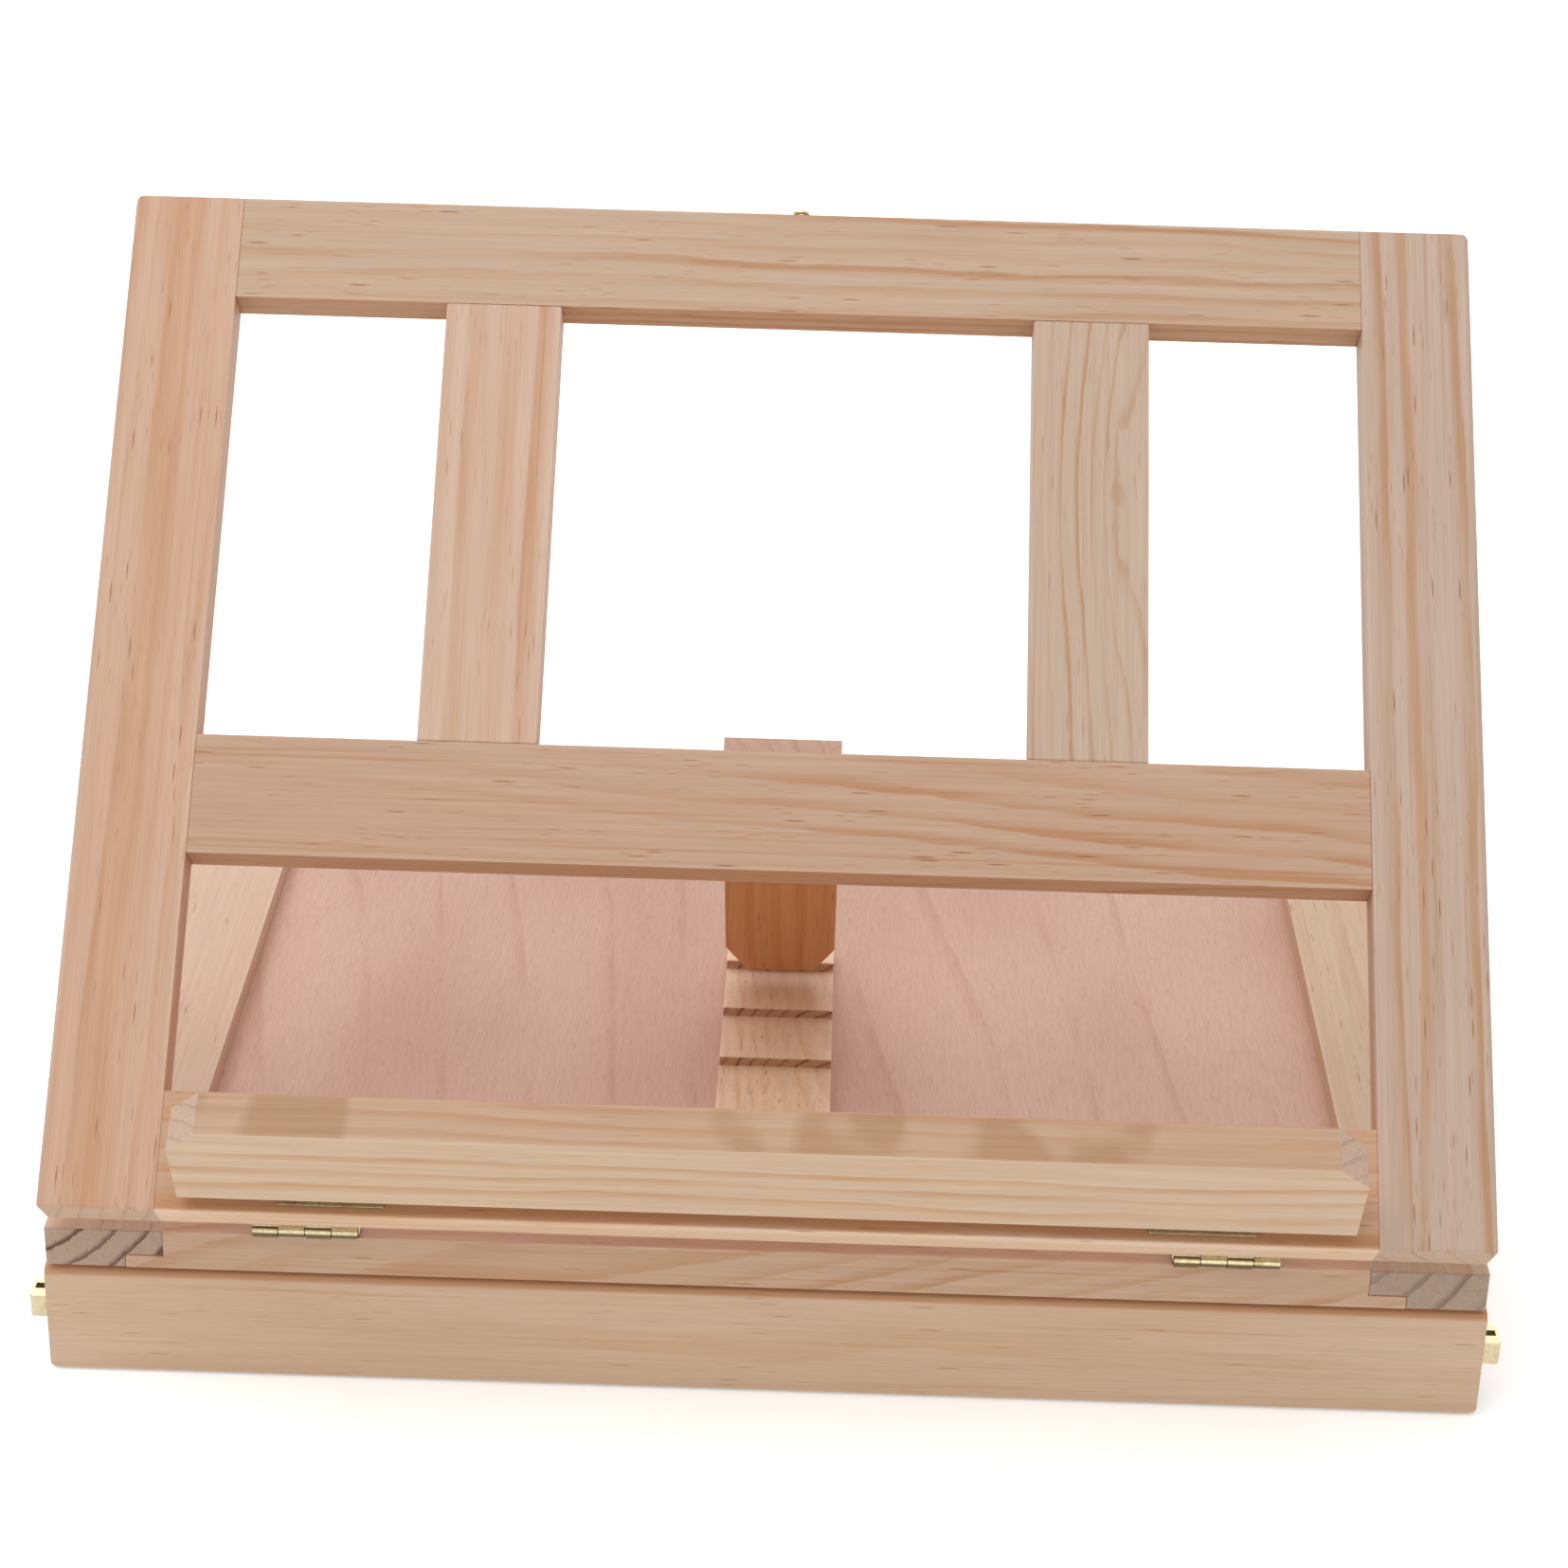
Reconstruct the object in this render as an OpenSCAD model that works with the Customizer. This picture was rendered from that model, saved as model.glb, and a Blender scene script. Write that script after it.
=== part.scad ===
// Table-top box easel: a drawer box with a hinged easel frame, a folding prop and a folding ledge.
// Origin: centre of the underside. X runs to the right, Y to the back and Z up.

/* [Body] */
// Width of the whole easel, side to side
easel_w = 340; // [300:5:400]
// Depth of the base, front to back, and length of the easel frame
base_d = 262; // [250:1:280]
// Height of the base, from the table to its top face
base_h = 40; // [38:1:60]
// Lean of the easel frame above the base, in degrees
frame_tilt = 46; // [40:1:56]

/* [Base] */
// Width of the base's side rails
side_rail_w = 28; // [24:1:34]
// Width of the base's front and back rails
cross_rail_w = 28; // [24:1:34]
// Thickness of the base's rails
base_rail_t = 10.2; // [9:0.1:12]
// Depth of the plywood panel below the rails' top face
panel_drop = 6.2; // [5:0.1:7]
// Length of the tongues on the front and back rails
tongue_l = 9; // [6:0.5:12]
// Thickness of the tongues
tongue_t = 3.2; // [2.5:0.1:4]
// Thickness of the box's walls
wall_t = 8; // [6:0.5:10]
// Thickness of the box's plywood bottom
bottom_t = 3; // [2.5:0.1:4]

/* [Rack and prop] */
// Width of the rack, of the prop and of the frame's slats
strip_w = 29; // [24:1:34]
// Distance of the rearmost riser behind the base's front
notch_y = 142.5; // [136:0.1:148]
// Distance between two risers
notch_pitch = 26; // [22:0.1:28]
// Height of a riser
notch_h = 2.7; // [2:0.1:4]
// Thickness of the prop
prop_t = 7; // [6:0.5:8]
// Clearance of the prop's foot over the rack's crests
foot_lift = 0.8; // [0.6:0.1:2]

/* [Easel frame] */
// Thickness of the frame's members
frame_t = 10; // [8:0.5:12]
// Distance of the frame's sides inside the sides of the base
frame_in = 0.5; // [0:0.1:2]
// Width of the two stiles
stile_w = 27.5; // [24:0.5:34]
// Width of the top rail
top_rail_w = 27.5; // [22:0.5:34]
// Width of the middle rail
mid_rail_w = 30; // [24:1:34]
// Width of the bottom rail
bottom_rail_w = 29; // [26:1:34]
// Height of the middle rail's lower edge along the frame
mid_rail_y = 87.5; // [80:0.5:92]
// Distance of the slats' centre lines from the middle
slat_x = 74; // [60:1:85]
// Gap between the base and the closed frame
fold_gap = 3.8; // [3:0.1:4]

/* [Ledge] */
// Length of the ledge
ledge_l = 272; // [240:1:276]
// Width of the ledge
ledge_w = 28; // [24:1:34]
// Thickness of the ledge
ledge_t = 11; // [9:0.5:12]
// Opening angle of the ledge, from flat on the frame
ledge_open = 71; // [50:1:76]

/* [Drawer] */
// Thickness of the drawer's front board
front_t = 12; // [11.5:0.5:14]
// Overhang of the drawer's front past the sides of the base
front_over = 0.7; // [0:0.1:1]
// Height of the drawer's sides
drawer_h = 20; // [14:1:21]
// Thickness of the drawer's sides and back
drawer_t = 6; // [5:0.5:8]
// Thickness of the drawer's dividers
divider_t = 4; // [3:0.5:5]
// Clearance of the drawer in the box, on each side
drawer_gap = 0.3; // [0.2:0.05:0.6]

/* [Hinges and catches] */
// Length of a hinge
hinge_l = 25; // [20:1:30]
// Width of a hinge leaf, from the knuckle
leaf_w = 10; // [9:0.5:11]
// Radius of a hinge knuckle
knuckle_r = 1.3; // [1.2:0.05:1.4]
// Radius of a hinge pin
pin_r = 0.6; // [0.5:0.05:0.7]
// Running clearance of a pin in its knuckles, on the radius
pin_gap = 0.05; // [0.03:0.01:0.1]
// Distance of the base hinges' middles inside the sides of the base
base_hinge_in = 62; // [45:1:80]
// Distance of the ledge hinges' middles from the ends of the ledge
ledge_hinge_in = 35; // [20:1:50]
// Reach of a side hook, from its pivot to its tip
hook_reach = 22.8; // [20:0.1:26]

/* [Hidden] */
$fn = 48;

pine = "burlywood";
ply = "rosybrown";
brass = "gold";

eps = 0.01;
corner_r = 2;
edge_r = 1.5;
joint_gap = 0.12;
half_w = easel_w / 2;
base_hinge_x = half_w - base_hinge_in;
ledge_hinge_x = ledge_l / 2 - ledge_hinge_in;

// Hinges, with the start of a leaf's plate behind its pin
leaf_t = 0.8;
leaf_start = 1.4;
flat_leaf_start = 1.7;
leaf_gap = 0.1;
ledge_leaf_w = 8.5;
knuckle_clear = 0.3;
segments = 4;
segment_gap = 0.2;
prop_hinge_l = 20;

// Screws
screw_head_r = 1.9;
screw_shank_r = 1;
screw_l = 5;
screw_gap = 0.05;
screw_end_gap = 0.3;
slot_w = 0.5;
slot_d = 0.3;
screw_y = 5.6;
screw_xs = [-hinge_l * 0.28, hinge_l * 0.28];
prop_screw_xs = [-prop_hinge_l * 0.25, prop_hinge_l * 0.25];

// Base
inner_x = half_w - side_rail_w;
rail_z = base_h - base_rail_t;
panel_z = base_h - panel_drop;
panel_lip = 6;
wall_front = front_t + 0.4;
wall_x = half_w - wall_t;

// Rack
rack_tail = 14.7;
notches = 4;

// Hinge between the base and the frame
frame_pin = [-1, base_h + fold_gap / 2];
frame_back = base_h + fold_gap;
frame_front = frame_back + frame_t;
half_frame = half_w - frame_in;
rail_l = 2 * (half_frame - stile_w);
top_rail_y = base_d - top_rail_w;
mid_rail_top = mid_rail_y + mid_rail_w;
dowel_r = 3;
dowel_l = 24;
dowel_gap = 0.05;
dowel_end_gap = 0.2;
dowel_rows = [[2, bottom_rail_w - 2], [mid_rail_y, mid_rail_top], [top_rail_y + 1, base_d - 1]];

// Hinge of the prop, on the back edge of the middle rail
prop_pin = [mid_rail_top + knuckle_r + leaf_gap, frame_back];
prop_start = 1.4;
prop_chamfer = [5.5, 11.5];

// The prop's foot stands just in front of the rearmost riser
foot_set = 5.7;
foot_y = notch_y - foot_set;
foot_z = base_h + foot_lift;
pin_out = prop_pin - frame_pin;
prop_pin_now = frame_pin + [pin_out[0] * cos(frame_tilt) - pin_out[1] * sin(frame_tilt),
    pin_out[0] * sin(frame_tilt) + pin_out[1] * cos(frame_tilt)];
prop_reach = norm([foot_y, foot_z] - prop_pin_now);
prop_fold = frame_tilt + atan2(prop_pin_now[1] - foot_z, foot_y - prop_pin_now[0]);

// Hinge of the ledge, on the front of the bottom rail
ledge_pin = [12.6, frame_front + knuckle_r + leaf_gap];
ledge_back = frame_front + 0.5;
ledge_leaf_drop = 0.4;
ledge_foot = ledge_pin[0] - ledge_leaf_drop;
ledge_chamfer = 7;

// Drawer
front_z = 0.8;
front_top = rail_z - 1.2;
half_front = half_w + front_over;
front_corner_r = 1.5;
front_edge_r = 2.6;
drawer_x = wall_x - drawer_gap;
drawer_z = bottom_t + drawer_gap;
drawer_back_gap = 6;
drawer_back_y = base_d - wall_t - drawer_back_gap;
drawer_floor_z = drawer_z + 1;
drawer_floor_t = 2.5;
drawer_floor_top = drawer_floor_z + drawer_floor_t;
divider_y = 82;
divider_drop = 6;
divider_h = drawer_h - divider_drop;

// Catches
keeper_out = 3.9;
keeper_d = 8.6;
keeper_h = 5.9;
keeper_z = 15;
keeper_chamfer = [1.3, 2.4];
keeper_lip = 0.6;
keeper_screw_y = 6;
keeper_screw_out = 2.4;
slot_y = [3.3, 5.6];
slot_out = 3.1;
plate_t = 1;
plate_y = [1.2, 10.8];
plate_z = [keeper_z - 5, keeper_z + keeper_h + 5];
hook_t = 1.8;
hook_out = front_over + 0.7;
hook_w = 3.6;
hook_eye_r = 3;
hook_z = keeper_z + keeper_h + 0.5 + hook_w / 2;
hook_y = (slot_y[0] + slot_y[1]) / 2 + hook_reach;
hook_tip_r = [hook_reach - 0.4, hook_reach + 0.9];
hook_tip_l = 5;
pan_gap = 0.3;
pivot_screw_l = 5;
stud_r = 1.3;
stud_head_r = 2.2;
stud_shank_l = 8;
stud_gap = 0.3;
stud_z = frame_back + frame_t / 2;
closing_out = 0.4;
closing_y = base_d + closing_out;
closing_t = 1.2;
closing_w = 4;
closing_end = 3.5;
closing_beak = 6.5;
closing_pivot_z = rail_z + 5;
closing_reach = stud_z - closing_pivot_z;

// Frames of reference

module base_space() {
    translate([0, -base_d / 2, 0]) children();
}

module turn_about(pin, angle) {
    translate([0, pin[0], pin[1]]) rotate([angle, 0, 0]) translate([0, -pin[0], -pin[1]]) children();
}

// The easel frame is drawn closed, flat above the base, and turned up about its pin
module frame_space() {
    base_space() turn_about(frame_pin, frame_tilt) children();
}

// The prop is drawn folded up in the plane of the frame, and swung back about its pin
module prop_space() {
    frame_space() turn_about(prop_pin, -prop_fold) children();
}

// The ledge is drawn folded flat on the frame, and opened about its pin
module ledge_space() {
    frame_space() turn_about(ledge_pin, ledge_open) children();
}

// Shared shapes

module box_at(x, y, z) {
    translate([x[0], y[0], z[0]]) cube([x[1] - x[0], y[1] - y[0], z[1] - z[0]]);
}

module along_x(r, l) {
    rotate([0, 90, 0]) cylinder(r = r, h = l, center = true);
}

// A rectangle with its corners on one side rounded: side is -1 for the left, 1 for the right
module stile_outline(l, side) {
    x = side < 0 ? 0 : stile_w;
    difference() {
        square([stile_w, l]);
        for (y = [0, l]) {
            translate([x - corner_r, y - corner_r]) square(2 * corner_r);
        }
    }
    for (y = [corner_r, l - corner_r]) {
        intersection() {
            translate([x - side * corner_r, y]) circle(corner_r);
            square([stile_w, l]);
        }
    }
}

// The span along X that is cut for a hinge of length l
function let_in(x, l) = [x - l / 2 - leaf_gap, x + l / 2 + leaf_gap];

// A hinge leaf whose pin runs along X through the origin. The plate runs towards +Y and has its
// faces at heights low and low + leaf_t. The leaf has every second knuckle, from number first on.
module hinge_leaf(l, low, first, start, xs, w = leaf_w) {
    seg = l / segments;
    strap = [min(low, knuckle_r - leaf_t), max(low, -knuckle_r) + leaf_t];
    difference() {
        union() {
            translate([-l / 2, start, low]) cube([l, w - start, leaf_t]);
            for (i = [first : 2 : segments - 1]) {
                translate([-l / 2 + i * seg + segment_gap / 2, 0, 0]) {
                    box_at([0, seg - segment_gap], [0, start + eps], strap);
                    translate([(seg - segment_gap) / 2, 0, 0]) along_x(knuckle_r, seg - segment_gap);
                }
            }
        }
        along_x(pin_r + pin_gap, l + 1);
        for (x = xs) {
            translate([x, screw_y, low - 1]) cylinder(r = screw_head_r + screw_gap, h = leaf_t + 2);
        }
    }
}

// A slotted screw: its head's face is at height 0 and its shank runs down
module screw(head_t = leaf_t, l = screw_l) {
    difference() {
        union() {
            translate([0, 0, -head_t]) cylinder(r = screw_head_r, h = head_t);
            translate([0, 0, -l]) cylinder(r = screw_shank_r, h = l - head_t + eps);
        }
        translate([-slot_w / 2, -screw_head_r - 1, -slot_d]) cube([slot_w, 2 * screw_head_r + 2, 1]);
    }
}

module screw_hole(l = screw_l) {
    translate([0, 0, -l - screw_end_gap]) cylinder(r = screw_shank_r + screw_gap, h = l + 1);
}

module at_pin(x, pin) {
    translate([x, pin[0], pin[1]]) children();
}

// The leaf of a base hinge that lies on the base, and its twin under the frame
module lower_leaf_at(x) {
    base_space() at_pin(x, frame_pin)
        hinge_leaf(hinge_l, -fold_gap / 2, 0, leaf_start, screw_xs);
}

module upper_leaf_at(x) {
    frame_space() at_pin(x, frame_pin)
        hinge_leaf(hinge_l, fold_gap / 2 - leaf_t, 1, leaf_start, screw_xs);
}

module for_base_screws() {
    for (x = [-base_hinge_x, base_hinge_x], dx = screw_xs) {
        translate([x + dx, frame_pin[0] + screw_y, 0]) children();
    }
}

// Base

// The left side rail, with rebates under it for the panel and for the cross rails' tongues
module side_rail() {
    tongue_y = cross_rail_w - panel_lip;
    difference() {
        box_at([-half_w, -inner_x], [0, base_d], [rail_z, base_h]);
        box_at([-inner_x - panel_lip, -inner_x + 1], [tongue_y, base_d - tongue_y], [rail_z - 1, panel_z]);
        for (y = [-1, base_d - tongue_y]) {
            box_at([-inner_x - tongue_l - joint_gap, -inner_x + 1], [y, y + tongue_y + 1],
                [rail_z - 1, rail_z + tongue_t + joint_gap]);
        }
    }
}

// The front rail, between the side rails, with a tongue at each end
module cross_rail() {
    tongue_y = cross_rail_w - panel_lip;
    difference() {
        union() {
            box_at([-inner_x, inner_x], [0, cross_rail_w], [rail_z, base_h]);
            box_at([-inner_x - tongue_l, inner_x + tongue_l], [0, tongue_y], [rail_z, rail_z + tongue_t]);
        }
        box_at([-inner_x - 1, inner_x + 1], [tongue_y, cross_rail_w + 1], [rail_z - 1, panel_z]);
    }
}

module side_rail_left() {
    color(pine) base_space() side_rail();
}

module side_rail_right() {
    color(pine) base_space() mirror([1, 0, 0]) side_rail();
}

// The front rail also carries the lower leaves of the base hinges
module front_rail() {
    color(pine) base_space() difference() {
        cross_rail();
        for_base_screws() translate([0, 0, base_h + leaf_t]) screw_hole();
    }
}

module back_rail() {
    color(pine) base_space() difference() {
        translate([0, base_d, 0]) mirror([0, 1, 0]) cross_rail();
        translate([0, base_d, closing_pivot_z]) rotate([-90, 0, 0]) screw_hole(pivot_screw_l);
    }
}

module panel() {
    color(ply) base_space() box_at([-inner_x - panel_lip, inner_x + panel_lip],
        [cross_rail_w - panel_lip, base_d - cross_rail_w + panel_lip], [rail_z, panel_z]);
}

// Each riser faces the front, and behind its crest the top falls back to the foot of the next riser
module rack() {
    front_y = notch_y - notches * notch_pitch;
    fall = notch_h / notch_pitch;
    teeth = [for (i = [notches - 1 : -1 : 0]) each [
        [notch_y - i * notch_pitch, base_h - notch_h],
        [notch_y - i * notch_pitch, base_h]]];
    color(pine) base_space() translate([-strip_w / 2, 0, 0]) rotate([90, 0, 90])
        linear_extrude(strip_w) polygon(concat(
            [[cross_rail_w, panel_z], [cross_rail_w, base_h], [front_y, base_h]],
            teeth,
            [[notch_y + rack_tail, base_h - fall * rack_tail], [notch_y + rack_tail, panel_z]]));
}

module box_side() {
    difference() {
        box_at([-half_w, -wall_x], [wall_front, base_d], [0, rail_z]);
        translate([-half_w, hook_y, hook_z]) rotate([0, -90, 0]) screw_hole(pivot_screw_l);
    }
}

module box_side_left() {
    color(pine) base_space() box_side();
}

module box_side_right() {
    color(pine) base_space() mirror([1, 0, 0]) box_side();
}

module box_back() {
    color(pine) base_space() box_at([-wall_x, wall_x], [base_d - wall_t, base_d], [0, rail_z]);
}

module box_bottom() {
    color(ply) base_space() box_at([-wall_x, wall_x], [wall_front, base_d - wall_t],
        [0, bottom_t]);
}

module base_leaf_left() {
    color(brass) lower_leaf_at(-base_hinge_x);
}

module base_leaf_right() {
    color(brass) lower_leaf_at(base_hinge_x);
}

module base_hinge_pins() {
    color(brass) base_space() for (x = [-base_hinge_x, base_hinge_x]) {
        at_pin(x, frame_pin) along_x(pin_r, hinge_l);
    }
}

module base_leaf_screws() {
    color(brass) base_space() for_base_screws() translate([0, 0, base_h + leaf_t]) screw();
}

// Side hooks and the closing hook

// A pan-headed screw along X that holds a side hook, on the left
module side_hook_screw() {
    out = hook_out + hook_t + pan_gap + leaf_t;
    translate([-half_w - out, hook_y, hook_z]) rotate([0, -90, 0]) screw(leaf_t, out + pivot_screw_l);
}

module side_hook_screws() {
    color(brass) base_space() for (side = [0, 1]) {
        mirror([side, 0, 0]) side_hook_screw();
    }
}

// The hook's outline as it lies when parked, with the pivot at the origin and the arm to the right
module side_hook_outline() {
    difference() {
        union() {
            circle(hook_eye_r);
            intersection() {
                circle(hook_tip_r[1], $fn = 96);
                translate([0, -hook_w / 2]) square([hook_tip_r[1] + 1, hook_w]);
            }
            intersection() {
                difference() {
                    circle(hook_tip_r[1], $fn = 96);
                    circle(hook_tip_r[0], $fn = 96);
                }
                translate([0, -hook_w / 2]) square([hook_tip_r[1] + 1, hook_tip_l + hook_w / 2]);
            }
        }
        circle(screw_shank_r + pin_gap);
    }
}

module side_hook() {
    translate([-half_w - hook_out - hook_t, hook_y, hook_z]) rotate([90, 0, 90])
        linear_extrude(hook_t) side_hook_outline();
}

module side_hook_left() {
    color(brass) base_space() side_hook();
}

module side_hook_right() {
    color(brass) base_space() mirror([1, 0, 0]) side_hook();
}

// The closing hook hangs from the back rail, and swings up sideways onto the stud of the closed frame
module closing_hook() {
    color(brass) base_space() translate([0, closing_y + closing_t, closing_pivot_z])
        rotate([90, 0, 0]) linear_extrude(closing_t) difference() {
            union() {
                circle(hook_eye_r);
                translate([-closing_w / 2, -closing_reach - closing_end])
                    square([closing_w, closing_reach + closing_end]);
                translate([-closing_w / 2, -closing_reach - closing_end]) square(closing_beak);
            }
            circle(screw_shank_r + pin_gap);
            translate([0, -closing_reach]) circle(stud_r + stud_gap);
            translate([0, -closing_reach - stud_r - stud_gap])
                square([closing_beak, 2 * (stud_r + stud_gap)]);
        }
}

module closing_hook_screw() {
    out = closing_out + closing_t + pan_gap + leaf_t;
    color(brass) base_space() translate([0, base_d + out, closing_pivot_z])
        rotate([-90, 0, 0]) screw(leaf_t, out + pivot_screw_l);
}

// Drawer

module front_outline() {
    r = front_corner_r;
    difference() {
        translate([-half_front, front_z]) square([2 * half_front, front_top - front_z]);
        for (side = [-1, 1]) {
            translate([side * half_front - r, front_z - r]) square(2 * r);
        }
    }
    for (side = [-1, 1]) {
        translate([side * (half_front - r), front_z + r]) circle(r);
    }
}

module front_profile() {
    r = front_edge_r;
    difference() {
        translate([0, front_z]) square([front_t, front_top - front_z]);
        translate([-1, front_top - r]) square([1 + r, r + 1]);
    }
    translate([r, front_top - r]) intersection() {
        circle(r);
        translate([-r, 0]) square(r + eps);
    }
}

// The board over the whole front, with its upper front edge rounded and let-in keeper plates
module drawer_front() {
    color(pine) base_space() difference() {
        intersection() {
            translate([-half_front, 0, 0]) rotate([90, 0, 90])
                linear_extrude(2 * half_front) front_profile();
            translate([0, front_t, 0]) rotate([90, 0, 0]) linear_extrude(front_t) front_outline();
        }
        for (side = [0, 1]) {
            mirror([side, 0, 0]) {
                box_at([-half_front - 1, -half_front + plate_t], plate_y, plate_z);
                for_keeper_screws() screw_hole();
            }
        }
    }
}

module for_keeper_screws() {
    for (z = [keeper_z - keeper_screw_out, keeper_z + keeper_h + keeper_screw_out]) {
        translate([-half_front, keeper_screw_y, z]) rotate([0, -90, 0]) children();
    }
}

module drawer_side() {
    box_at([-drawer_x, -drawer_x + drawer_t], [front_t, drawer_back_y], [drawer_z, drawer_z + drawer_h]);
}

module drawer_side_left() {
    color(pine) base_space() drawer_side();
}

module drawer_side_right() {
    color(pine) base_space() mirror([1, 0, 0]) drawer_side();
}

module drawer_back() {
    color(pine) base_space() box_at([-drawer_x + drawer_t, drawer_x - drawer_t],
        [drawer_back_y - drawer_t, drawer_back_y], [drawer_z, drawer_z + drawer_h]);
}

module drawer_bottom() {
    color(ply) base_space() box_at([-drawer_x + drawer_t, drawer_x - drawer_t],
        [front_t, drawer_back_y - drawer_t], [drawer_floor_z, drawer_floor_top]);
}

module long_divider() {
    color(pine) base_space() box_at([-drawer_x + drawer_t, drawer_x - drawer_t],
        [divider_y, divider_y + divider_t], [drawer_floor_top, drawer_floor_top + divider_h]);
}

module cross_divider() {
    color(pine) base_space() box_at([-divider_t / 2, divider_t / 2],
        [divider_y + divider_t, drawer_back_y - drawer_t],
        [drawer_floor_top, drawer_floor_top + divider_h]);
}

// A brass eye on the end of the drawer front: its slot takes the tip of a side hook
module keeper() {
    difference() {
        union() {
            translate([-half_front, 0, keeper_z]) linear_extrude(keeper_h) polygon([[0, 0],
                [-keeper_out + keeper_lip, 0], [-keeper_out, keeper_lip],
                [-keeper_out, keeper_d - keeper_chamfer[1]], [-keeper_out + keeper_chamfer[0], keeper_d],
                [0, keeper_d]]);
            box_at([-half_front, -half_front + plate_t], plate_y, plate_z);
        }
        box_at([-half_front - slot_out, -half_front], slot_y, [keeper_z - 1, keeper_z + keeper_h + 1]);
        for_keeper_screws() translate([0, 0, -plate_t - 1])
            cylinder(r = screw_head_r + screw_gap, h = plate_t + 2);
    }
}

module keeper_left() {
    color(brass) base_space() keeper();
}

module keeper_right() {
    color(brass) base_space() mirror([1, 0, 0]) keeper();
}

module keeper_screws() {
    color(brass) base_space() for (side = [0, 1]) {
        mirror([side, 0, 0]) for_keeper_screws() screw(plate_t);
    }
}

// Easel frame

module for_dowels() {
    for (y = dowel_rows, k = [0.27, 0.73]) {
        for (side = [-1, 1]) {
            translate([side * rail_l / 2, y[0] + k * (y[1] - y[0]), frame_back + frame_t / 2]) children();
        }
    }
}

module dowel_holes() {
    for_dowels() along_x(dowel_r + dowel_gap, dowel_l + 2 * dowel_end_gap);
}

// The waste that a rounded edge of length l along X leaves, with the sharp edge at the origin
module edge_waste(l) {
    rotate([90, 0, 90]) translate([0, 0, -l / 2]) linear_extrude(l) difference() {
        translate([-1, -edge_r]) square(edge_r + 1);
        translate([edge_r, -edge_r]) circle(edge_r);
    }
}

// Rounds the lower front edge of the frame's members
module lower_edge_waste() {
    translate([0, 0, frame_front]) edge_waste(easel_w + 2);
}

// Rounds the outer front edge of a stile: side is -1 for the left, 1 for the right
module side_edge_waste(side) {
    translate([side * half_frame, base_d / 2, frame_front]) rotate([0, 0, side * 90])
        edge_waste(base_d + 2);
}

module stile_left() {
    color(pine) frame_space() difference() {
        translate([-half_frame, 0, frame_back]) linear_extrude(frame_t) stile_outline(base_d, -1);
        dowel_holes();
        lower_edge_waste();
        side_edge_waste(-1);
    }
}

module stile_right() {
    color(pine) frame_space() difference() {
        translate([half_frame - stile_w, 0, frame_back]) linear_extrude(frame_t) stile_outline(base_d, 1);
        dowel_holes();
        lower_edge_waste();
        side_edge_waste(1);
    }
}

module frame_rail(y) {
    difference() {
        box_at([-rail_l / 2, rail_l / 2], y, [frame_back, frame_front]);
        dowel_holes();
    }
}

module top_rail() {
    color(pine) frame_space() difference() {
        frame_rail([top_rail_y, base_d]);
        translate([0, base_d, stud_z]) rotate([-90, 0, 0]) screw_hole(stud_shank_l);
    }
}

// The middle rail has the prop's hinge leaf let into its back
module mid_rail() {
    color(pine) frame_space() difference() {
        frame_rail([mid_rail_y, mid_rail_top]);
        box_at(let_in(0, prop_hinge_l), [prop_pin[0] - leaf_w - leaf_gap, mid_rail_top + 1],
            [frame_back - 1, frame_back + leaf_t]);
        for (x = prop_screw_xs) {
            translate([x, prop_pin[0] - screw_y, frame_back]) mirror([0, 0, 1]) screw_hole();
        }
    }
}

// The bottom rail has the base hinges on its back, and the ledge's hinges on its front
module bottom_rail() {
    color(pine) frame_space() difference() {
        frame_rail([0, bottom_rail_w]);
        for_base_screws() translate([0, 0, frame_back - leaf_t]) mirror([0, 0, 1]) screw_hole();
        for_rail_screws() screw_hole();
        lower_edge_waste();
    }
}

module slat_at(x) {
    frame_space() box_at([x - strip_w / 2, x + strip_w / 2], [mid_rail_top, top_rail_y],
        [frame_back, frame_front]);
}

module slat_left() {
    color(pine) slat_at(-slat_x);
}

module slat_right() {
    color(pine) slat_at(slat_x);
}

module frame_dowels() {
    color(pine) frame_space() for_dowels() along_x(dowel_r, dowel_l);
}

module frame_leaf_left() {
    color(brass) upper_leaf_at(-base_hinge_x);
}

module frame_leaf_right() {
    color(brass) upper_leaf_at(base_hinge_x);
}

module frame_leaf_screws() {
    color(brass) frame_space() {
        for_base_screws() translate([0, 0, frame_back - leaf_t]) mirror([0, 0, 1]) screw();
        for (x = prop_screw_xs) {
            translate([x, prop_pin[0] - screw_y, frame_back]) mirror([0, 0, 1]) screw();
        }
    }
}

// The ledge's hinges: one leaf on the front of the bottom rail, below the pin
module rail_leaf_at(x) {
    frame_space() at_pin(x, ledge_pin) mirror([0, 1, 0])
        hinge_leaf(hinge_l, -knuckle_r - leaf_gap, 0, flat_leaf_start, screw_xs);
}

module rail_leaf_left() {
    color(brass) rail_leaf_at(-ledge_hinge_x);
}

module rail_leaf_right() {
    color(brass) rail_leaf_at(ledge_hinge_x);
}

module for_rail_screws() {
    for (x = [-ledge_hinge_x, ledge_hinge_x], dx = screw_xs) {
        translate([x + dx, ledge_pin[0] - screw_y, frame_front + leaf_t]) children();
    }
}

module rail_leaf_screws() {
    color(brass) frame_space() for_rail_screws() screw();
}

module ledge_hinge_pins() {
    color(brass) frame_space() for (x = [-ledge_hinge_x, ledge_hinge_x]) {
        at_pin(x, ledge_pin) along_x(pin_r, hinge_l);
    }
}

module prop_hinge_leaf() {
    color(brass) frame_space() at_pin(0, prop_pin) mirror([0, 1, 0])
        hinge_leaf(prop_hinge_l, 0, 0, flat_leaf_start, prop_screw_xs);
}

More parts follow.
